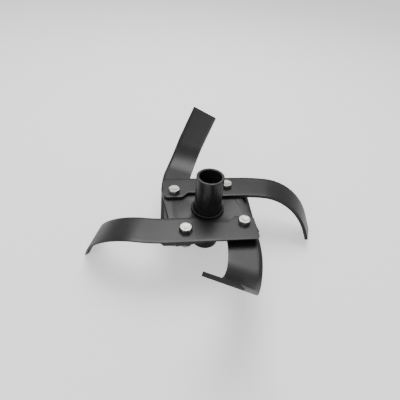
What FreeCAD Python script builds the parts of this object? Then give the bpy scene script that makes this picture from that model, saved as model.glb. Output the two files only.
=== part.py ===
import FreeCAD, Part
import math
import os

# Four-blade rotor of a walk-behind tiller: a round hub tube welded through a square plate,
# and four strip blades bolted to the plate in a pinwheel, two on top and two beneath.
# Millimetres. Origin on the tube's axis at the middle of the plate's thickness, +Z up the tube.

# --- driving dimensions ------------------------------------------------------------------
# hub
tube_bore_radius = 12.7
tube_wall = 3.3
tube_length = 102.0
tube_edge_chamfer = 0.6
plate_side = 97.5
plate_thickness = 5.0
plate_corner_radius = 2.0
tube_to_plate_clearance = 0.1
weld_leg = 4.2
cross_pin_radius = 4.25
cross_pin_from_tube_end = 19.0

# M8 fasteners, one through each corner of the plate
bolt_spacing = 68.5
bolt_radius = 4.0
bolt_length = 25.0
bolt_end_chamfer = 0.8
head_across_flats = 13.0
head_height = 5.3
head_land_inset = 0.3
head_dish_radius = 4.2
head_dish_depth = 0.6
nut_height = 6.5
washer_outer_radius = 7.4
washer_bore_clearance = 0.1
washer_thickness = 2.0
washer_gap = 1.6
bolt_hole_clearance = 0.25

# blades, cut from flat bar
blade_width = 37.0
blade_thickness = 4.0
blade_offset = 37.5
root_reach = 51.5
root_corner_cut = 4.0
notch_depth = 8.0
notch_floor = 30.0
notch_centre = -6.0
bevel_width = 4.2
bevel_depth = 2.2
bend_sections = 13

# lower pair of blades: laid on top of the plate and rolled down
# slant: turn of the whole blade from the plate's edge; sweep: turn of the blank in its own plane
down_slant = -7.4
down_sweep_start = 46.3
down_sweep_radius = 169.0
down_sweep_angle = 38.6
down_blank_reach = 174.4
down_end_slant = 0.8
down_bend_start = 79.5
down_bend_skew = 17.8
down_bend_radius = 67.7
down_bend_angle = 64.9

# upper pair of blades: laid beneath the plate and rolled up
up_slant = -10.1
up_sweep_start = 47.3
up_sweep_radius = 150.5
up_sweep_angle = 36.0
up_blank_reach = 184.3
up_end_slant = 3.3
up_bend_start = 85.1
up_bend_skew = 25.1
up_bend_radius = 52.0
up_bend_angle = 53.5

# --- worked out from the above -----------------------------------------------------------
tube_outer_radius = tube_bore_radius + tube_wall
plate_face = plate_thickness / 2
hole_radius = bolt_radius + bolt_hole_clearance
blade_face = plate_face + blade_thickness
UP = FreeCAD.Vector(0, 0, 1)
AXIS_POINT = FreeCAD.Vector(0, 0, 0)


def save(shape, name):
    """One solid per node, written under its node's name."""
    os.makedirs("parts", exist_ok=True)
    shape.exportStep("parts/" + name + ".step")
    print(name, round(shape.Volume), shape.isValid(), len(shape.Solids))


def revolved(outline):
    """A full turn about Z of an outline given as (radius, height) points."""
    points = [FreeCAD.Vector(r, 0, z) for r, z in outline]
    face = Part.Face(Part.makePolygon(points + points[:1]))
    return face.revolve(AXIS_POINT, UP, 360)


def hexagon_prism(across_flats, base, height, turn):
    """A hexagonal bar on the Z axis, standing on z = base."""
    corner = across_flats / math.sqrt(3)
    points = []
    for i in range(6):
        angle = math.radians(60 * i + turn)
        points.append(FreeCAD.Vector(corner * math.cos(angle), corner * math.sin(angle), base))
    return Part.Face(Part.makePolygon(points + points[:1])).extrude(UP * height)


# --- hub ---------------------------------------------------------------------------------
def hub_tube():
    """Round tube with both ends lightly chamfered and a cross hole for the drive pin below the plate."""
    half = tube_length / 2
    c = tube_edge_chamfer
    tube = revolved([
        (tube_bore_radius, -half + c), (tube_bore_radius + c, -half),
        (tube_outer_radius - c, -half), (tube_outer_radius, -half + c),
        (tube_outer_radius, half - c), (tube_outer_radius - c, half),
        (tube_bore_radius + c, half), (tube_bore_radius, half - c),
    ])
    pin_start = FreeCAD.Vector(0, -2 * tube_outer_radius, cross_pin_from_tube_end - half)
    pin = Part.makeCylinder(cross_pin_radius, 4 * tube_outer_radius, pin_start, FreeCAD.Vector(0, 1, 0))
    return tube.cut(pin)


def hub_plate():
    """Square plate with rounded corners, a hole for the tube and one bolt hole near each corner."""
    plate = Part.makeBox(plate_side, plate_side, plate_thickness,
                         FreeCAD.Vector(-plate_side / 2, -plate_side / 2, -plate_face))
    upright = [edge for edge in plate.Edges if abs(edge.tangentAt(edge.FirstParameter).z) > 0.9]
    plate = plate.makeFillet(plate_corner_radius, upright)
    below = FreeCAD.Vector(0, 0, -plate_thickness)
    tube_hole = Part.makeCylinder(tube_outer_radius + tube_to_plate_clearance, 2 * plate_thickness, below)
    holes = [Part.makeCylinder(hole_radius, 2 * plate_thickness, below + corner) for corner in bolt_places()]
    return plate.cut([tube_hole] + holes)


def weld_bead(side):
    """Flat-faced fillet weld round the tube on one face of the plate; side is +1 above, -1 below."""
    return revolved([
        (tube_outer_radius, side * plate_face),
        (tube_outer_radius + weld_leg, side * plate_face),
        (tube_outer_radius, side * (plate_face + weld_leg)),
    ])


def bolt_places():
    """Corners of the bolt square, in the order back right, back left, front left, front right."""
    half = bolt_spacing / 2
    return [FreeCAD.Vector(x * half, y * half, 0) for x, y in ((1, 1), (-1, 1), (-1, -1), (1, -1))]


# --- fasteners ---------------------------------------------------------------------------
def chamfered_hexagon(seat, end, turn):
    """Hexagon between two heights, its corners turned off by a 30 degree cone at the free end."""
    land = head_across_flats / 2 - head_land_inset
    outer = head_across_flats
    drop = math.copysign((outer - land) * math.tan(math.radians(30)), end - seat)
    cone = revolved([(0, end), (land, end), (outer, end - drop), (outer, seat), (0, seat)])
    return hexagon_prism(head_across_flats, seat, end - seat, turn).common(cone)


def bolt(turn):
    """Hex bolt with a dished head, its head seated on the upper blade."""
    top = blade_face + head_height
    head = chamfered_hexagon(blade_face, top, turn)
    head = head.cut(revolved([(0, top - head_dish_depth), (head_dish_radius, top), (0, top)]))
    end = blade_face - bolt_length
    shank = revolved([
        (0, end), (bolt_radius - bolt_end_chamfer, end), (bolt_radius, end + bolt_end_chamfer),
        (bolt_radius, blade_face + head_height / 2), (0, blade_face + head_height / 2),
    ])
    return head.fuse(shank).removeSplitter()


def spring_washer(turn):
    """Split ring pressed flat between the lower blade and the nut."""
    bore = bolt_radius + washer_bore_clearance
    base = -blade_face - washer_thickness
    ring = revolved([
        (bore, base), (washer_outer_radius, base),
        (washer_outer_radius, -blade_face), (bore, -blade_face),
    ])
    slit = Part.makeBox(2 * washer_outer_radius, washer_gap, 3 * washer_thickness,
                        FreeCAD.Vector(0, -washer_gap / 2, -1.5 * washer_thickness))
    slit.rotate(AXIS_POINT, FreeCAD.Vector(1, 0, 0), 25)
    slit.translate(FreeCAD.Vector(0, 0, base + washer_thickness / 2))
    ring = ring.cut(slit)
    ring.rotate(AXIS_POINT, UP, turn)
    return ring


def nut(turn):
    """Hex nut run up against the spring washer."""
    seat = -blade_face - washer_thickness
    end = seat - nut_height
    body = chamfered_hexagon(seat, end, turn)
    return body.cut(Part.makeCylinder(bolt_radius, 3 * nut_height, FreeCAD.Vector(0, 0, end - nut_height)))


# --- blades ------------------------------------------------------------------------------
class Blade:
    """A strip blade lying along +X on the plate, its concave side down and on the plate's face.

    Flat blank: u along the bar from the tube's axis, n across it, away from the tube.
    The blank is straight over the plate and then sweeps towards the tube's side in its own plane.
    It is then rolled about a skewed axis: q is the distance past the bend line, m along that line.
    """

    def __init__(self, slant, sweep_start, sweep_radius, sweep_angle, blank_reach, end_slant,
                 bend_start, bend_skew, bend_radius, bend_angle):
        self.slant = slant
        self.sweep_start = sweep_start
        self.sweep_radius = sweep_radius
        self.sweep = math.radians(sweep_angle)
        self.blank_reach = blank_reach
        self.end_slope = math.tan(math.radians(end_slant))
        self.bend_radius = bend_radius
        self.neutral = bend_radius + blade_thickness / 2
        self.bend_angle = bend_angle
        self.bend = math.radians(bend_angle)
        self.skew = bend_skew
        skew = math.radians(bend_skew)
        self.along = FreeCAD.Vector(math.sin(skew), math.cos(skew), 0)
        self.forward = FreeCAD.Vector(math.cos(skew), -math.sin(skew), 0)
        self.bend_point = FreeCAD.Vector(bend_start, blade_offset, 0)

    def tip(self, offset):
        """Distance along the centre line at which the slanted end cut crosses an offset line."""
        return self.blank_reach + self.end_slope * offset

    def flat(self, distance, offset):
        """Point of the blank at a distance along its centre line and an offset away from the tube."""
        start, radius = self.sweep_start, self.sweep_radius
        turn = min(max((distance - start) / radius, 0.0), self.sweep)
        past = distance - start - turn * radius
        u = start + (radius + offset) * math.sin(turn) + past * math.cos(turn)
        n = blade_offset + (radius + offset) * math.cos(turn) - radius - past * math.sin(turn)
        return FreeCAD.Vector(u, n, 0)

    def rolled(self, point, height):
        """Where a point of the blank, height above its concave face, lies once the blank is rolled."""
        q = (point - self.bend_point).dot(self.forward)
        m = (point - self.bend_point).dot(self.along)
        angle = min(max(q / self.neutral, 0.0), self.bend)
        past = q - angle * self.neutral
        radius = self.bend_radius + height
        level = radius * math.cos(angle) - self.bend_radius - past * math.sin(angle)
        reach = radius * math.sin(angle) + past * math.cos(angle)
        return self.bend_point + self.along * m + self.forward * reach + UP * level

    def crossing(self, q, offset):
        """Point where the line across the blank at distance q past the bend line meets an offset line."""
        low, high = -2 * root_reach, 2 * self.blank_reach
        for _ in range(60):
            middle = (low + high) / 2
            if (self.flat(middle, offset) - self.bend_point).dot(self.forward) < q:
                low = middle
            else:
                high = middle
        return self.flat(middle, offset)

    def blank(self):
        """The flat blank with its notch beside the weld, its cut root corners and its slanted end."""
        half = blade_width / 2
        inner, outer = blade_offset - half, blade_offset + half
        start = self.sweep_start
        sweep_end = start + self.sweep * self.sweep_radius
        sweep_middle = (start + sweep_end) / 2
        floor_half = notch_floor / 2
        cut = root_corner_cut
        outline = [
            (notch_centre + floor_half + notch_depth, inner), (notch_centre + floor_half, inner + notch_depth),
            (notch_centre - floor_half, inner + notch_depth), (notch_centre - floor_half - notch_depth, inner),
            (cut - root_reach, inner), (-root_reach, inner + cut),
            (-root_reach, outer - cut), (cut - root_reach, outer), (start, outer),
        ]
        points = [self.flat(start, -half)] + [FreeCAD.Vector(u, n, 0) for u, n in outline]
        edges = [Part.makeLine(a, b) for a, b in zip(points, points[1:])]
        side = {}
        for offset in (half, -half):
            before, turn, after = [self.flat(s, offset) for s in (start, sweep_middle, sweep_end)]
            end = self.flat(self.tip(offset), offset)
            side[offset] = end
            edges += [Part.Arc(before, turn, after).toShape(), Part.makeLine(after, end)]
        edges.append(Part.makeLine(side[half], side[-half]))
        return Part.Face(Part.Wire(Part.__sortEdges__(edges))).extrude(UP * blade_thickness)

    def half_space(self, q, ahead):
        """A large box on one side of the line across the blank at distance q past the bend line."""
        size = 4 * self.blank_reach
        box = Part.makeBox(size, size, size, FreeCAD.Vector(0 if ahead else -size, -size / 2, -size / 2))
        box.rotate(AXIS_POINT, UP, -self.skew)
        box.translate(self.bend_point + self.forward * q)
        return box

    def bevel_tool(self):
        """Long wedge that grinds the outer edge of the concave side from the root to the tip."""
        half = blade_width / 2
        spare = 0.5
        first, last = -root_reach - blade_width, self.tip(half) + blade_width
        count = 30
        wires = []
        for i in range(count + 1):
            distance = first + (last - first) * i / count
            corners = [
                (half - bevel_width * (1 + spare), -bevel_depth * spare),
                (half + bevel_width * spare, bevel_depth * (1 + spare)),
                (half + bevel_width * spare, -bevel_depth * spare),
            ]
            points = [self.rolled(self.flat(distance, offset), height) for offset, height in corners]
            wires.append(Part.makePolygon(points + points[:1]))
        return Part.makeLoft(wires, True, False)

    def solid(self):
        blank = self.blank()
        bend_length = self.bend * self.neutral
        root = blank.common(self.half_space(0, ahead=False))
        tail = blank.common(self.half_space(bend_length, ahead=True))
        tail.translate(self.forward * -bend_length)
        centre = self.bend_point - UP * self.bend_radius
        tail.rotate(centre, self.along, self.bend_angle)
        half = blade_width / 2
        wires = []
        for i in range(bend_sections):
            q = bend_length * i / (bend_sections - 1)
            inner, outer = self.crossing(q, -half), self.crossing(q, half)
            points = [self.rolled(inner, 0), self.rolled(inner, blade_thickness),
                      self.rolled(outer, blade_thickness), self.rolled(outer, 0)]
            wires.append(Part.makePolygon(points + points[:1]))
        bend = Part.makeLoft(wires, True, False)
        blade = root.fuse([bend, tail])
        blade = blade.cut(self.bevel_tool())
        blade.rotate(AXIS_POINT, UP, self.slant)
        blade.translate(UP * plate_face)
        holes = [Part.makeCylinder(hole_radius, 4 * blade_face, place - UP * 2 * blade_face)
                 for place in bolt_places()[:2]]
        return blade.cut(holes)


def turned(shape, quarter_turns):
    copy = shape.copy()
    copy.rotate(AXIS_POINT, UP, 90 * quarter_turns)
    return copy


# --- the parts ---------------------------------------------------------------------------
save(hub_tube(), "hub_tube")
save(hub_plate(), "hub_plate")
save(weld_bead(1), "weld_bead_upper")
save(weld_bead(-1), "weld_bead_lower")

down_blade = Blade(down_slant, down_sweep_start, down_sweep_radius, down_sweep_angle, down_blank_reach,
                   down_end_slant, down_bend_start, down_bend_skew, down_bend_radius, down_bend_angle).solid()
up_blade = Blade(up_slant, up_sweep_start, up_sweep_radius, up_sweep_angle, up_blank_reach,
                 up_end_slant, up_bend_start, up_bend_skew, up_bend_radius, up_bend_angle).solid()
up_blade = up_blade.mirror(AXIS_POINT, UP)
save(turned(down_blade, 0), "blade_right")
save(turned(up_blade, 1), "blade_back")
save(turned(down_blade, 2), "blade_left")
save(turned(up_blade, 3), "blade_front")

corner_names = ("back_right", "back_left", "front_left", "front_right")
spanner_turns = (8, 31, 52, 17)
for name, place, turn in zip(corner_names, bolt_places(), spanner_turns):
    for label, shape in (("bolt_", bolt(turn)), ("spring_washer_", spring_washer(3 * turn)), ("nut_", nut(-turn))):
        shape.translate(place)
        save(shape, label + name)
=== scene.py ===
import math

import bmesh
import bpy
from mathutils import Matrix, Vector


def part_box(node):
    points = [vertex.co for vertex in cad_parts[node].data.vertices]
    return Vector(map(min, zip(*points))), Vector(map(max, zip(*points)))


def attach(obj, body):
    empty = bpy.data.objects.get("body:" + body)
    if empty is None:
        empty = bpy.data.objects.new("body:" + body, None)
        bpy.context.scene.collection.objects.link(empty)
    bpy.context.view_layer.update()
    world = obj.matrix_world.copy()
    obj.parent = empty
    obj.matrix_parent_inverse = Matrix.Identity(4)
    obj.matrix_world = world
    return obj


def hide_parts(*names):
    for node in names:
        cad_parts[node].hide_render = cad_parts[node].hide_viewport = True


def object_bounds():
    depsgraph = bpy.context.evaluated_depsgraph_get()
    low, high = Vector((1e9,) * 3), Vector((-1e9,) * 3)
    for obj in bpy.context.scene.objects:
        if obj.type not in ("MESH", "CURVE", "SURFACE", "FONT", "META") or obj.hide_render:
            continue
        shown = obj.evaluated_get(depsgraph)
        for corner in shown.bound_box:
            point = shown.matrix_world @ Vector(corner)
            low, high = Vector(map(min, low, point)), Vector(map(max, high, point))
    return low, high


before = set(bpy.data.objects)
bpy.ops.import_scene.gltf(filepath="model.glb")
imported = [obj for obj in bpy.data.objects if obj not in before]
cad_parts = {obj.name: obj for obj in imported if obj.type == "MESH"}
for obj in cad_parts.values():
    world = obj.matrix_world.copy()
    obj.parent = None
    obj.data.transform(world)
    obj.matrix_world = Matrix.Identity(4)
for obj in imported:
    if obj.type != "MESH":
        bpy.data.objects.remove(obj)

MM = 0.001
cad_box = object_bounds()


# === Floor, light and camera =============================================================
# A plain white floor just under the lowest blade tip, a white surround, one wide soft lamp
# overhead and a weaker one from the front, so the black enamel shows long soft reflections.
floor_level = cad_box[0].z - 0.2 * MM
floor_half = 3.0
floor_mesh = bpy.data.meshes.new("floor")
floor_corners = [(-1, -1), (1, -1), (1, 1), (-1, 1)]
floor_mesh.from_pydata([(x * floor_half, y * floor_half, floor_level) for x, y in floor_corners],
                       [], [(0, 1, 2, 3)])
floor = bpy.data.objects.new("floor", floor_mesh)
bpy.context.collection.objects.link(floor)


def new_material(name):
    """An empty node material with its output, and the two things needed to wire it."""
    material = bpy.data.materials.new(name)
    material.use_nodes = True
    tree = material.node_tree
    tree.nodes.clear()
    output = tree.nodes.new("ShaderNodeOutputMaterial")
    return material, tree, output


floor_paper, tree, output = new_material("white_paper")
sheet = tree.nodes.new("ShaderNodeBsdfDiffuse")
sheet.inputs["Color"].default_value = (0.86, 0.86, 0.86, 1)
grain = tree.nodes.new("ShaderNodeTexNoise")
grain.inputs["Scale"].default_value = 900.0
sheet_bump = tree.nodes.new("ShaderNodeBump")
sheet_bump.inputs["Strength"].default_value = 0.02
glow = tree.nodes.new("ShaderNodeEmission")
glow.inputs["Color"].default_value = (1, 1, 1, 1)
glow.inputs["Strength"].default_value = 0.62
both = tree.nodes.new("ShaderNodeAddShader")
seen = tree.nodes.new("ShaderNodeLightPath")
choose = tree.nodes.new("ShaderNodeMixShader")
tree.links.new(grain.outputs["Fac"], sheet_bump.inputs["Height"])
tree.links.new(sheet_bump.outputs["Normal"], sheet.inputs["Normal"])
tree.links.new(sheet.outputs["BSDF"], both.inputs[0])
tree.links.new(glow.outputs["Emission"], both.inputs[1])
tree.links.new(seen.outputs["Is Camera Ray"], choose.inputs["Fac"])
tree.links.new(sheet.outputs["BSDF"], choose.inputs[1])
tree.links.new(both.outputs["Shader"], choose.inputs[2])
tree.links.new(choose.outputs["Shader"], output.inputs["Surface"])
floor.data.materials.append(floor_paper)

world = bpy.data.worlds.new("surround")
bpy.context.scene.world = world
world.use_nodes = True
sky = world.node_tree
sky.nodes.clear()
path = sky.nodes.new("ShaderNodeLightPath")
backdrop = sky.nodes.new("ShaderNodeBackground")
backdrop.inputs["Color"].default_value = (1, 1, 1, 1)
backdrop.inputs["Strength"].default_value = 1.0
ambient = sky.nodes.new("ShaderNodeBackground")
ambient.inputs["Color"].default_value = (1, 1, 1, 1)
ambient.inputs["Strength"].default_value = 0.45
pick = sky.nodes.new("ShaderNodeMixShader")
sky_output = sky.nodes.new("ShaderNodeOutputWorld")
sky.links.new(path.outputs["Is Camera Ray"], pick.inputs["Fac"])
sky.links.new(ambient.outputs["Background"], pick.inputs[1])
sky.links.new(backdrop.outputs["Background"], pick.inputs[2])
sky.links.new(pick.outputs["Shader"], sky_output.inputs["Surface"])


def soft_lamp(name, place, size, power):
    """A square area lamp aimed at the hub."""
    light = bpy.data.lights.new(name, "AREA")
    light.shape = "SQUARE"
    light.size = size
    light.energy = power
    lamp = bpy.data.objects.new(name, light)
    lamp.location = place
    lamp.rotation_euler = (-Vector(place)).to_track_quat("-Z", "Y").to_euler()
    bpy.context.collection.objects.link(lamp)
    return lamp


soft_lamp("overhead_lamp", (0.1, 0.55, 1.15), 0.9, 16.0)
soft_lamp("front_lamp", (-0.9, -1.0, 0.9), 0.8, 7.0)

camera_place = Vector((-0.1010, -0.2937, 0.2763))
camera_azimuth = 17.19
camera_tilt_down = 40.07
camera_roll = 4.77
camera_data = bpy.data.cameras.new("camera")
camera_data.lens = 30.86
camera_data.sensor_width = 36.0
camera_data.clip_start = 0.01
camera = bpy.data.objects.new("camera", camera_data)
bpy.context.collection.objects.link(camera)
camera.matrix_world = (
    Matrix.Translation(camera_place)
    @ Matrix.Rotation(math.radians(-camera_azimuth), 4, "Z")
    @ Matrix.Rotation(math.radians(90 - camera_tilt_down), 4, "X")
    @ Matrix.Rotation(math.radians(camera_roll), 4, "Z")
)
bpy.context.scene.camera = camera


# === Hub tube ============================================================================
# A length of round steel tube that slides over the tiller's shaft, with a cross hole for its
# pin below the plate. Sawn to length, both rims broken, and sprayed with the rest.
def group_socket(group, name, kind, value=None, output=False):
    """Adds one socket to a shader group's interface."""
    socket = group.interface.new_socket(name=name, in_out="OUTPUT" if output else "INPUT", socket_type=kind)
    if value is not None:
        socket.default_value = value
    return socket


def enamel_group():
    """Sprayed enamel: orange peel, slow gloss changes, a little settled dust, faint rolling lines.

    Lines run along the metal where Lines Vector's X runs along it.
    """
    group = bpy.data.node_groups.new("sprayed_enamel", "ShaderNodeTree")
    group_socket(group, "Vector", "NodeSocketVector")
    group_socket(group, "Lines Vector", "NodeSocketVector")
    group_socket(group, "Color", "NodeSocketColor", (0.010, 0.010, 0.0105, 1))
    group_socket(group, "Dust Color", "NodeSocketColor", (0.06, 0.06, 0.058, 1))
    group_socket(group, "Roughness", "NodeSocketFloat", 0.34)
    group_socket(group, "Peel", "NodeSocketFloat", 0.08)
    group_socket(group, "Color", "NodeSocketColor", output=True)
    group_socket(group, "Roughness", "NodeSocketFloat", output=True)
    group_socket(group, "Normal", "NodeSocketVector", output=True)
    nodes, links = group.nodes, group.links
    enter = nodes.new("NodeGroupInput")
    leave = nodes.new("NodeGroupOutput")

    cloud = nodes.new("ShaderNodeTexNoise")
    cloud.inputs["Scale"].default_value = 28.0
    cloud.inputs["Detail"].default_value = 5.0
    lines = nodes.new("ShaderNodeTexNoise")
    lines.inputs["Scale"].default_value = 1.0
    lines.inputs["Detail"].default_value = 3.0
    stretch = nodes.new("ShaderNodeMapping")
    stretch.inputs["Scale"].default_value = (9.0, 420.0, 420.0)
    peel = nodes.new("ShaderNodeTexNoise")
    peel.inputs["Scale"].default_value = 620.0
    peel.inputs["Detail"].default_value = 2.0
    specks = nodes.new("ShaderNodeTexNoise")
    specks.inputs["Scale"].default_value = 1900.0
    specks.inputs["Detail"].default_value = 1.0
    links.new(enter.outputs["Vector"], cloud.inputs["Vector"])
    links.new(enter.outputs["Vector"], peel.inputs["Vector"])
    links.new(enter.outputs["Vector"], specks.inputs["Vector"])
    links.new(enter.outputs["Lines Vector"], stretch.inputs["Vector"])
    links.new(stretch.outputs["Vector"], lines.inputs["Vector"])

    dust_from_specks = nodes.new("ShaderNodeMapRange")
    dust_from_specks.inputs["From Min"].default_value = 0.62
    dust_from_specks.inputs["From Max"].default_value = 0.80
    dust_from_specks.inputs["To Max"].default_value = 0.5
    dust_from_cloud = nodes.new("ShaderNodeMapRange")
    dust_from_cloud.inputs["From Min"].default_value = 0.42
    dust_from_cloud.inputs["From Max"].default_value = 0.75
    dust_from_cloud.inputs["To Max"].default_value = 0.22
    dust = nodes.new("ShaderNodeMath")
    dust.operation = "ADD"
    dust.use_clamp = True
    tint = nodes.new("ShaderNodeMix")
    tint.data_type = "RGBA"
    links.new(specks.outputs["Fac"], dust_from_specks.inputs["Value"])
    links.new(cloud.outputs["Fac"], dust_from_cloud.inputs["Value"])
    links.new(dust_from_specks.outputs["Result"], dust.inputs[0])
    links.new(dust_from_cloud.outputs["Result"], dust.inputs[1])
    links.new(dust.outputs["Value"], tint.inputs["Factor"])
    links.new(enter.outputs["Color"], tint.inputs["A"])
    links.new(enter.outputs["Dust Color"], tint.inputs["B"])
    links.new(tint.outputs["Result"], leave.inputs["Color"])

    sheen_change = nodes.new("ShaderNodeMapRange")
    sheen_change.inputs["From Min"].default_value = 0.3
    sheen_change.inputs["From Max"].default_value = 0.7
    sheen_change.inputs["To Min"].default_value = -0.05
    sheen_change.inputs["To Max"].default_value = 0.06
    line_change = nodes.new("ShaderNodeMapRange")
    line_change.inputs["From Min"].default_value = 0.35
    line_change.inputs["From Max"].default_value = 0.65
    line_change.inputs["To Min"].default_value = -0.02
    line_change.inputs["To Max"].default_value = 0.025
    sum_changes = nodes.new("ShaderNodeMath")
    sum_changes.operation = "ADD"
    rough = nodes.new("ShaderNodeMath")
    rough.operation = "ADD"
    links.new(cloud.outputs["Fac"], sheen_change.inputs["Value"])
    links.new(lines.outputs["Fac"], line_change.inputs["Value"])
    links.new(sheen_change.outputs["Result"], sum_changes.inputs[0])
    links.new(line_change.outputs["Result"], sum_changes.inputs[1])
    links.new(enter.outputs["Roughness"], rough.inputs[0])
    links.new(sum_changes.outputs["Value"], rough.inputs[1])
    links.new(rough.outputs["Value"], leave.inputs["Roughness"])

    rolled_bump = nodes.new("ShaderNodeBump")
    rolled_bump.inputs["Strength"].default_value = 0.035
    rolled_bump.inputs["Distance"].default_value = 0.10 * MM
    peel_bump = nodes.new("ShaderNodeBump")
    peel_bump.inputs["Distance"].default_value = 0.10 * MM
    links.new(lines.outputs["Fac"], rolled_bump.inputs["Height"])
    links.new(enter.outputs["Peel"], peel_bump.inputs["Strength"])
    links.new(peel.outputs["Fac"], peel_bump.inputs["Height"])
    links.new(rolled_bump.outputs["Normal"], peel_bump.inputs["Normal"])
    links.new(peel_bump.outputs["Normal"], leave.inputs["Normal"])
    return group


sprayed_enamel = enamel_group()


def enamel(name, roughness, peel, lines_from="object", turn=(0.0, 0.0, 0.0)):
    """Semi-gloss black enamel; rolling lines follow the UV map or run along a turned X axis."""
    material, tree, output = new_material(name)
    place = tree.nodes.new("ShaderNodeTexCoord")
    effect = tree.nodes.new("ShaderNodeGroup")
    effect.node_tree = sprayed_enamel
    effect.inputs["Roughness"].default_value = roughness
    effect.inputs["Peel"].default_value = peel
    aim = tree.nodes.new("ShaderNodeMapping")
    aim.inputs["Rotation"].default_value = turn
    paint = tree.nodes.new("ShaderNodeBsdfPrincipled")
    paint.inputs["IOR"].default_value = 1.46
    tree.links.new(place.outputs["Object"], effect.inputs["Vector"])
    tree.links.new(place.outputs["UV" if lines_from == "uv" else "Object"], aim.inputs["Vector"])
    tree.links.new(aim.outputs["Vector"], effect.inputs["Lines Vector"])
    tree.links.new(effect.outputs["Color"], paint.inputs["Base Color"])
    tree.links.new(effect.outputs["Roughness"], paint.inputs["Roughness"])
    tree.links.new(effect.outputs["Normal"], paint.inputs["Normal"])
    tree.links.new(paint.outputs["BSDF"], output.inputs["Surface"])
    return material


def baked(obj):
    """Turns an object's modifiers into plain mesh."""
    graph = bpy.context.evaluated_depsgraph_get()
    graph.update()
    mesh = bpy.data.meshes.new_from_object(obj.evaluated_get(graph))
    obj.modifiers.clear()
    obj.data = mesh
    return obj


def smooth_by_angle(obj, degrees):
    """Smooth shading, with the edges sharper than an angle kept crisp."""
    for face in obj.data.polygons:
        face.use_smooth = True
    obj.data.set_sharp_from_angle(angle=math.radians(degrees))


def eased_copy(node, name, edge_radius, sharp_angle=30.0):
    """A merged copy of a CAD node whose edges are rounded a little, as paint or plating rounds them."""
    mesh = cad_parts[node].data.copy()
    mesh.materials.clear()
    obj = bpy.data.objects.new(name, mesh)
    bpy.context.collection.objects.link(obj)
    shell = bmesh.new()
    shell.from_mesh(mesh)
    bmesh.ops.remove_doubles(shell, verts=shell.verts, dist=0.002 * MM)
    bmesh.ops.dissolve_limit(shell, angle_limit=math.radians(0.6), verts=shell.verts, edges=shell.edges)
    shell.to_mesh(mesh)
    shell.free()
    rounding = obj.modifiers.new("edges", "BEVEL")
    rounding.width = edge_radius
    rounding.segments = 3
    rounding.limit_method = "ANGLE"
    rounding.angle_limit = math.radians(sharp_angle)
    rounding.use_clamp_overlap = True
    rounding.harden_normals = False
    baked(obj)
    smooth_by_angle(obj, 35.0)
    return obj


def dress(obj, material, node):
    """Gives a piece its finish and lets it stand for its CAD node."""
    obj.data.materials.clear()
    obj.data.materials.append(material)
    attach(obj, "root")
    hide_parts(node)


tube_enamel = enamel("tube_enamel", 0.30, 0.10, turn=(0.0, math.radians(90), 0.0))
hub_tube = eased_copy("hub_tube", "hub_tube_painted", 0.3 * MM)
dress(hub_tube, tube_enamel, "hub_tube")


# === Hub plate ===========================================================================
# A square of 5 mm plate, sheared and drilled, welded at mid-length of the tube. Its face is
# flat and catches the tube's reflection between the blades.
plate_enamel = enamel("plate_enamel", 0.36, 0.07)
hub_plate = eased_copy("hub_plate", "hub_plate_painted", 0.45 * MM)
dress(hub_plate, plate_enamel, "hub_plate")


# === Weld beads ==========================================================================
# A fillet weld round the tube on each face of the plate, laid as a row of overlapping
# ripples and painted over.
weld_enamel = enamel("weld_enamel", 0.36, 0.25)
ripple_count = 58
bead_sink = 0.35 * MM


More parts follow.
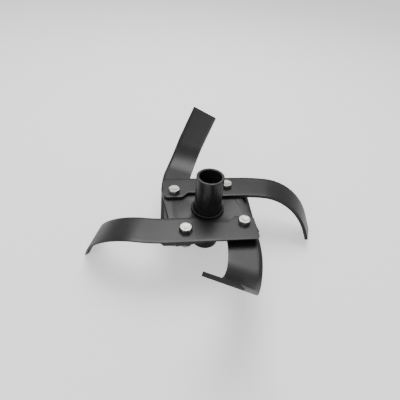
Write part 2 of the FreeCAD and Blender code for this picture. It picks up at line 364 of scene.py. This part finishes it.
def ripple_tree(material):
    """Geometry nodes: one flattened ball for each weld ripple, set round a circle and leaning along it."""
    tree = bpy.data.node_groups.new("weld_ripples", "GeometryNodeTree")
    for name, kind, value in (
        ("Circle Radius", "NodeSocketFloat", 18 * MM), ("Height", "NodeSocketFloat", 4 * MM),
        ("Leg", "NodeSocketFloat", 4 * MM), ("Count", "NodeSocketInt", 50), ("Side", "NodeSocketFloat", 1.0),
        ("Seed", "NodeSocketInt", 3),
    ):
        tree.interface.new_socket(name=name, in_out="INPUT", socket_type=kind).default_value = value
    tree.interface.new_socket(name="Geometry", in_out="OUTPUT", socket_type="NodeSocketGeometry")
    nodes, links = tree.nodes, tree.links
    enter = nodes.new("NodeGroupInput")
    leave = nodes.new("NodeGroupOutput")
    circle = nodes.new("GeometryNodeMeshCircle")
    ball = nodes.new("GeometryNodeMeshUVSphere")
    ball.inputs["Segments"].default_value = 14
    ball.inputs["Rings"].default_value = 9
    ball.inputs["Radius"].default_value = 1.0
    place = nodes.new("GeometryNodeInputPosition")
    axis = nodes.new("ShaderNodeCombineXYZ")
    axis.inputs["Z"].default_value = 1.0
    along = nodes.new("ShaderNodeVectorMath")
    along.operation = "CROSS_PRODUCT"
    lean = nodes.new("FunctionNodeAlignEulerToVector")
    lean.axis = "X"
    tilt = nodes.new("FunctionNodeRotateEuler")
    tilt.rotation_type = "AXIS_ANGLE" if hasattr(tilt, "rotation_type") else "AXIS_ANGLE"
    tilt.space = "LOCAL"
    tilt.inputs["Axis"].default_value = (1, 0, 0)
    quarter = nodes.new("ShaderNodeMath")
    quarter.operation = "MULTIPLY"
    quarter.inputs[1].default_value = math.radians(-45)
    wander = nodes.new("FunctionNodeRandomValue")
    wander.data_type = "FLOAT"
    wander.inputs["Min"].default_value = 0.9
    wander.inputs["Max"].default_value = 1.08
    size = nodes.new("ShaderNodeCombineXYZ")
    long_size = nodes.new("ShaderNodeMath")
    long_size.operation = "MULTIPLY"
    long_size.inputs[1].default_value = 0.66
    long_wander = nodes.new("ShaderNodeMath")
    long_wander.operation = "MULTIPLY"
    high_size = nodes.new("ShaderNodeMath")
    high_size.operation = "MULTIPLY"
    high_size.inputs[1].default_value = 0.40
    thick_size = nodes.new("ShaderNodeMath")
    thick_size.operation = "MULTIPLY"
    thick_size.inputs[1].default_value = 0.34
    spread = nodes.new("GeometryNodeInstanceOnPoints")
    lift = nodes.new("GeometryNodeTransform")
    lift_by = nodes.new("ShaderNodeCombineXYZ")
    real = nodes.new("GeometryNodeRealizeInstances")
    smooth = nodes.new("GeometryNodeSetShadeSmooth")
    paint = nodes.new("GeometryNodeSetMaterial")
    paint.inputs["Material"].default_value = material
    links.new(enter.outputs["Count"], circle.inputs["Vertices"])
    links.new(enter.outputs["Circle Radius"], circle.inputs["Radius"])
    links.new(axis.outputs["Vector"], along.inputs[0])
    links.new(place.outputs["Position"], along.inputs[1])
    links.new(along.outputs["Vector"], lean.inputs["Vector"])
    links.new(enter.outputs["Side"], quarter.inputs[0])
    links.new(lean.outputs["Rotation"], tilt.inputs["Rotation"])
    links.new(quarter.outputs["Value"], tilt.inputs["Angle"])
    links.new(enter.outputs["Seed"], wander.inputs["Seed"])
    links.new(enter.outputs["Leg"], thick_size.inputs[0])
    links.new(enter.outputs["Leg"], long_size.inputs[0])
    links.new(enter.outputs["Leg"], high_size.inputs[0])
    links.new(long_size.outputs["Value"], long_wander.inputs[0])
    links.new(wander.outputs["Value"], long_wander.inputs[1])
    links.new(thick_size.outputs["Value"], size.inputs["X"])
    links.new(long_wander.outputs["Value"], size.inputs["Y"])
    links.new(high_size.outputs["Value"], size.inputs["Z"])
    links.new(circle.outputs["Mesh"], spread.inputs["Points"])
    links.new(ball.outputs["Mesh"], spread.inputs["Instance"])
    links.new(tilt.outputs["Rotation"], spread.inputs["Rotation"])
    links.new(size.outputs["Vector"], spread.inputs["Scale"])
    links.new(enter.outputs["Height"], lift_by.inputs["Z"])
    links.new(spread.outputs["Instances"], lift.inputs["Geometry"])
    links.new(lift_by.outputs["Vector"], lift.inputs["Translation"])
    links.new(lift.outputs["Geometry"], real.inputs["Geometry"])
    links.new(real.outputs["Geometry"], smooth.inputs["Geometry"])
    links.new(smooth.outputs["Geometry"], paint.inputs["Geometry"])
    links.new(paint.outputs["Geometry"], leave.inputs["Geometry"])
    return tree


def set_input(modifier, name, value):
    """Sets a geometry nodes input by its socket's identifier."""
    for item in modifier.node_group.interface.items_tree:
        if item.item_type == "SOCKET" and item.in_out == "INPUT" and item.name == name:
            modifier[item.identifier] = value


ripples = ripple_tree(weld_enamel)
tube_low, tube_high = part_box("hub_tube")
tube_radius = tube_high.x
for node, side in (("weld_bead_upper", 1.0), ("weld_bead_lower", -1.0)):
    bead_low, bead_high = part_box(node)
    leg = bead_high.x - tube_radius
    foot = bead_low.z if side > 0 else bead_high.z
    bead = bpy.data.objects.new(node + "_rippled", bpy.data.meshes.new(node + "_rippled"))
    bpy.context.collection.objects.link(bead)
    recipe = bead.modifiers.new("ripples", "NODES")
    recipe.node_group = ripples
    set_input(recipe, "Circle Radius", tube_radius + 0.34 * leg)
    set_input(recipe, "Height", foot + side * 0.34 * leg)
    set_input(recipe, "Leg", leg)
    set_input(recipe, "Count", ripple_count)
    set_input(recipe, "Side", side)
    set_input(recipe, "Seed", 3 if side > 0 else 8)
    baked(bead)
    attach(bead, "root")
    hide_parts(node)


# === Blades ==============================================================================
# Four strips of 4 mm spring steel, cut to a sickle blank, notched to clear the weld, rolled
# about a skewed line and ground along one edge. Two lie on the plate, two lie beneath it.
blade_width = 37.0 * MM
blade_thickness = 4.0 * MM
blade_offset = 37.5 * MM
root_reach = 51.5 * MM
root_corner_cut = 4.0 * MM
notch_depth = 8.0 * MM
notch_floor = 30.0 * MM
notch_centre = -6.0 * MM
ground_width = 4.2 * MM
ground_depth = 2.2 * MM
bolt_hole_radius = 4.25 * MM
plate_low, plate_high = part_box("hub_plate")
bolt_low, bolt_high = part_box("bolt_back_right")
bolt_reach = (bolt_low.x + bolt_high.x) / 2
stations = 150
strips_across = 10


class RolledStrip:
    """Where points of a flat sickle blank lie after it is rolled about a skewed line."""

    def __init__(self, slant, sweep_start, sweep_radius, sweep_angle, reach, end_slant,
                 bend_start, bend_skew, bend_radius, bend_angle):
        self.slant = math.radians(slant)
        self.sweep_start, self.sweep_radius = sweep_start * MM, sweep_radius * MM
        self.sweep = math.radians(sweep_angle)
        self.reach = reach * MM
        self.end_slope = math.tan(math.radians(end_slant))
        self.bend_radius = bend_radius * MM
        self.bend = math.radians(bend_angle)
        skew = math.radians(bend_skew)
        self.along = Vector((math.sin(skew), math.cos(skew), 0))
        self.forward = Vector((math.cos(skew), -math.sin(skew), 0))
        self.bend_point = Vector((bend_start * MM, blade_offset, 0))

    def flat(self, distance, offset):
        turn = min(max((distance - self.sweep_start) / self.sweep_radius, 0.0), self.sweep)
        past = distance - self.sweep_start - turn * self.sweep_radius
        arm = self.sweep_radius + offset
        u = self.sweep_start + arm * math.sin(turn) + past * math.cos(turn)
        n = blade_offset + arm * math.cos(turn) - self.sweep_radius - past * math.sin(turn)
        return Vector((u, n, 0))

    def point(self, distance, offset, height):
        """A point of the rolled blade, its concave face resting on z = 0 over the plate."""
        start = self.flat(distance, offset) - self.bend_point
        neutral = self.bend_radius + blade_thickness / 2
        ahead = start.dot(self.forward)
        angle = min(max(ahead / neutral, 0.0), self.bend)
        past = ahead - angle * neutral
        radius = self.bend_radius + height
        drop = radius * math.cos(angle) - self.bend_radius - past * math.sin(angle)
        reach = radius * math.sin(angle) + past * math.cos(angle)
        return self.bend_point + self.along * start.dot(self.along) + self.forward * reach + Vector((0, 0, drop))


def blade_section():
    """Outline of the strip's section as (offset, height, smooth run) points, ground on one edge."""
    half = blade_width / 2
    top = [(-half + blade_width * i / strips_across, blade_thickness) for i in range(strips_across + 1)]
    land = half - ground_width
    bottom = [(land - (land + half) * i / strips_across, 0.0) for i in range(strips_across + 1)]
    return top + [(half, ground_depth)] + bottom


def prism(points, low, high):
    """A cutter: a polygon of (x, y) points stood up between two heights."""
    mesh = bpy.data.meshes.new("cutter")
    count = len(points)
    lower = [(x, y, low) for x, y in points]
    upper = [(x, y, high) for x, y in points]
    sides = [(i, (i + 1) % count, count + (i + 1) % count, count + i) for i in range(count)]
    mesh.from_pydata(lower + upper, [], [tuple(range(count))[::-1], tuple(range(count, 2 * count))] + sides)
    shell = bmesh.new()
    shell.from_mesh(mesh)
    bmesh.ops.recalc_face_normals(shell, faces=shell.faces)
    shell.to_mesh(mesh)
    shell.free()
    cutter = bpy.data.objects.new("cutter", mesh)
    bpy.context.collection.objects.link(cutter)
    return cutter


def strip_blade(name, strip, flip, quarter_turns, material, node):
    """One finished blade: swept strip, cut root, rounded edges, a UV map that follows the strip."""
    section = blade_section()
    around = len(section)
    start = -root_reach
    verts, marks = [], []
    for i in range(stations + 1):
        share = i / stations
        for offset, height in section:
            tip = strip.reach + strip.end_slope * offset
            distance = start + (tip - start) * share
            verts.append(strip.point(distance, offset, height))
            marks.append((distance, offset + (0 if height > 0.5 * blade_thickness else 3 * blade_width)))
    faces = []
    for i in range(stations):
        for j in range(around):
            k = (j + 1) % around
            faces.append((i * around + j, i * around + k, (i + 1) * around + k, (i + 1) * around + j))
    faces.append(tuple(range(around))[::-1])
    faces.append(tuple(stations * around + j for j in range(around)))
    mesh = bpy.data.meshes.new(name)
    mesh.from_pydata(verts, [], faces)
    grain = mesh.uv_layers.new(name="along_the_strip")
    for loop in mesh.loops:
        grain.data[loop.index].uv = marks[loop.vertex_index]
    shell = bmesh.new()
    shell.from_mesh(mesh)
    bmesh.ops.recalc_face_normals(shell, faces=shell.faces)
    shell.to_mesh(mesh)
    shell.free()
    obj = bpy.data.objects.new(name, mesh)
    bpy.context.collection.objects.link(obj)

    half = blade_width / 2
    inner, outer = blade_offset - half, blade_offset + half
    low, high = -blade_thickness, 2 * blade_thickness
    spare = 2 * MM
    floor_half = notch_floor / 2
    notch = [(notch_centre - floor_half - notch_depth - spare, inner - spare),
             (notch_centre + floor_half + notch_depth + spare, inner - spare),
             (notch_centre + floor_half, inner + notch_depth), (notch_centre - floor_half, inner + notch_depth)]
    cutters = [prism(notch, low, high)]
    for edge, sign in ((inner, 1), (outer, -1)):
        cutters.append(prism([(start - spare, edge - sign * spare), (start + root_corner_cut + spare, edge - sign * spare),
                              (start - spare, edge + sign * (root_corner_cut + spare))], low, high))
    turn_back = Matrix.Rotation(-strip.slant, 3, "Z")
    for x in (bolt_reach, -bolt_reach):
        hole = turn_back @ Vector((x, bolt_reach, 0))
        ring = [(hole.x + bolt_hole_radius * math.cos(a * math.pi / 24),
                 hole.y + bolt_hole_radius * math.sin(a * math.pi / 24)) for a in range(48)]
        cutters.append(prism(ring, low, high))
    for cutter in cutters:
        cut = obj.modifiers.new("cut", "BOOLEAN")
        cut.operation = "DIFFERENCE"
        cut.solver = "EXACT"
        cut.object = cutter
    baked(obj)
    for cutter in cutters:
        bpy.data.objects.remove(cutter)
    rounding = obj.modifiers.new("edges", "BEVEL")
    rounding.width = 0.45 * MM
    rounding.segments = 3
    rounding.limit_method = "ANGLE"
    rounding.angle_limit = math.radians(24)
    baked(obj)

    seat = plate_high.z
    obj.data.transform(Matrix.Translation((0, 0, seat)))
    if flip:
        obj.data.transform(Matrix.Scale(-1, 4, (0, 0, 1)))
        obj.data.flip_normals()
    obj.data.transform(Matrix.Rotation(strip.slant + quarter_turns * math.pi / 2, 4, "Z"))
    smooth_by_angle(obj, 32.0)
    dress(obj, material, node)
    return obj


blade_enamel = enamel("blade_enamel", 0.38, 0.06, lines_from="uv")
lower_strip = RolledStrip(slant=-7.4, sweep_start=46.3, sweep_radius=169.0, sweep_angle=38.6, reach=174.4,
                          end_slant=0.8, bend_start=79.5, bend_skew=17.8, bend_radius=67.7, bend_angle=64.9)
upper_strip = RolledStrip(slant=-10.1, sweep_start=47.3, sweep_radius=150.5, sweep_angle=36.0, reach=184.3,
                          end_slant=3.3, bend_start=85.1, bend_skew=25.1, bend_radius=52.0, bend_angle=53.5)
for node, strip, flip, quarter_turns in (
    ("blade_right", lower_strip, False, 0), ("blade_back", upper_strip, True, 1),
    ("blade_left", lower_strip, False, 2), ("blade_front", upper_strip, True, 3),
):
    blade = strip_blade(node + "_painted", strip, flip, quarter_turns, blade_enamel, node)
    gap = max(max(abs(a - b) for a, b in zip(Vector(blade.bound_box[i]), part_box(node)[j]))
              for i, j in ((0, 0), (6, 1)))
    print(node, "differs from its solid by", round(gap / MM, 3), "mm")


# === Bolts, spring washers and nuts ======================================================
# Four M8 hex bolts, bright zinc plated, each clamping an upper blade, the plate and a lower
# blade. Cold-headed with a dished top; the thread runs out below the nut.
def zinc_group():
    """Bright zinc: cloudy passivation, fine tumbling marks and a few dull spots."""
    group = bpy.data.node_groups.new("zinc_plating", "ShaderNodeTree")
    group_socket(group, "Vector", "NodeSocketVector")
    group_socket(group, "Bright", "NodeSocketColor", (0.52, 0.52, 0.50, 1))
    group_socket(group, "Dull", "NodeSocketColor", (0.30, 0.30, 0.28, 1))
    group_socket(group, "Roughness", "NodeSocketFloat", 0.26)
    group_socket(group, "Color", "NodeSocketColor", output=True)
    group_socket(group, "Roughness", "NodeSocketFloat", output=True)
    group_socket(group, "Normal", "NodeSocketVector", output=True)
    nodes, links = group.nodes, group.links
    enter = nodes.new("NodeGroupInput")
    leave = nodes.new("NodeGroupOutput")
    cloud = nodes.new("ShaderNodeTexNoise")
    cloud.inputs["Scale"].default_value = 260.0
    cloud.inputs["Detail"].default_value = 4.0
    marks = nodes.new("ShaderNodeTexNoise")
    marks.inputs["Scale"].default_value = 1500.0
    marks.inputs["Detail"].default_value = 3.0
    fade = nodes.new("ShaderNodeMapRange")
    fade.inputs["From Min"].default_value = 0.40
    fade.inputs["From Max"].default_value = 0.72
    tint = nodes.new("ShaderNodeMix")
    tint.data_type = "RGBA"
    change = nodes.new("ShaderNodeMapRange")
    change.inputs["To Min"].default_value = -0.08
    change.inputs["To Max"].default_value = 0.16
    rough = nodes.new("ShaderNodeMath")
    rough.operation = "ADD"
    dents = nodes.new("ShaderNodeBump")
    dents.inputs["Strength"].default_value = 0.25
    dents.inputs["Distance"].default_value = 0.05 * MM
    links.new(enter.outputs["Vector"], cloud.inputs["Vector"])
    links.new(enter.outputs["Vector"], marks.inputs["Vector"])
    links.new(cloud.outputs["Fac"], fade.inputs["Value"])
    links.new(fade.outputs["Result"], tint.inputs["Factor"])
    links.new(enter.outputs["Bright"], tint.inputs["A"])
    links.new(enter.outputs["Dull"], tint.inputs["B"])
    links.new(tint.outputs["Result"], leave.inputs["Color"])
    links.new(marks.outputs["Fac"], change.inputs["Value"])
    links.new(enter.outputs["Roughness"], rough.inputs[0])
    links.new(change.outputs["Result"], rough.inputs[1])
    links.new(rough.outputs["Value"], leave.inputs["Roughness"])
    links.new(marks.outputs["Fac"], dents.inputs["Height"])
    links.new(dents.outputs["Normal"], leave.inputs["Normal"])
    return group


zinc_effect = zinc_group()


def zinc(name, roughness):
    material, tree, output = new_material(name)
    place = tree.nodes.new("ShaderNodeTexCoord")
    effect = tree.nodes.new("ShaderNodeGroup")
    effect.node_tree = zinc_effect
    effect.inputs["Roughness"].default_value = roughness
    metal = tree.nodes.new("ShaderNodeBsdfPrincipled")
    metal.inputs["Metallic"].default_value = 1.0
    tree.links.new(place.outputs["Object"], effect.inputs["Vector"])
    tree.links.new(effect.outputs["Color"], metal.inputs["Base Color"])
    tree.links.new(effect.outputs["Roughness"], metal.inputs["Roughness"])
    tree.links.new(effect.outputs["Normal"], metal.inputs["Normal"])
    tree.links.new(metal.outputs["BSDF"], output.inputs["Surface"])
    return material


bolt_zinc = zinc("bolt_zinc", 0.28)
washer_zinc = zinc("washer_zinc", 0.34)
nut_zinc = zinc("nut_zinc", 0.30)
thread_pitch = 1.25 * MM
thread_depth = 0.61 * MM
steps_round = 40
steps_per_pitch = 8


def threaded_end(centre, low, high, radius):
    """The bolt's thread as one closed screw surface, tapering away at its free end."""
    rings = round((high - low) / thread_pitch * steps_per_pitch)
    verts = []
    for i in range(rings + 1):
        z = low + (high - low) * i / rings
        taper = min(1.0, (z - low) / (0.8 * MM) + 0.35)
        for j in range(steps_round):
            turn = j / steps_round
            phase = ((z - low) / thread_pitch - turn) % 1.0
            groove = 1.0 - abs(2 * phase - 1)
            r = min(radius - thread_depth * groove, radius * (0.8 + 0.2 * taper))
            verts.append((centre.x + r * math.cos(2 * math.pi * turn),
                          centre.y + r * math.sin(2 * math.pi * turn), z))
    faces = [tuple(range(steps_round))[::-1], tuple(rings * steps_round + j for j in range(steps_round))]
    for i in range(rings):
        for j in range(steps_round):
            k = (j + 1) % steps_round
            faces.append((i * steps_round + j, i * steps_round + k, (i + 1) * steps_round + k, (i + 1) * steps_round + j))
    return verts, faces


for corner in ("back_right", "back_left", "front_left", "front_right"):
    bolt_node, washer_node, nut_node = "bolt_" + corner, "spring_washer_" + corner, "nut_" + corner
    low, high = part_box(bolt_node)
    centre = (low + high) / 2
    washer_low, washer_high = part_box(washer_node)

    bolt = eased_copy(bolt_node, bolt_node + "_plated", 0.25 * MM, 26.0)
    head = bmesh.new()
    head.from_mesh(bolt.data)
    seat = washer_high.z
    cut = bmesh.ops.bisect_plane(head, geom=head.verts[:] + head.edges[:] + head.faces[:],
                                 plane_co=(0, 0, seat), plane_no=(0, 0, -1), clear_outer=True)
    rim = [e for e in cut["geom_cut"] if isinstance(e, bmesh.types.BMEdge)]
    bmesh.ops.contextual_create(head, geom=rim)
    thread_verts, thread_faces = threaded_end(centre, low.z, seat, 4.0 * MM)
    made = [head.verts.new(v) for v in thread_verts]
    for face in thread_faces:
        head.faces.new([made[i] for i in face])
    bmesh.ops.recalc_face_normals(head, faces=head.faces)
    head.to_mesh(bolt.data)
    head.free()
    smooth_by_angle(bolt, 35.0)
    dress(bolt, bolt_zinc, bolt_node)

    washer = eased_copy(washer_node, washer_node + "_plated", 0.15 * MM)
    dress(washer, washer_zinc, washer_node)
    nut = eased_copy(nut_node, nut_node + "_plated", 0.25 * MM, 26.0)
    dress(nut, nut_zinc, nut_node)
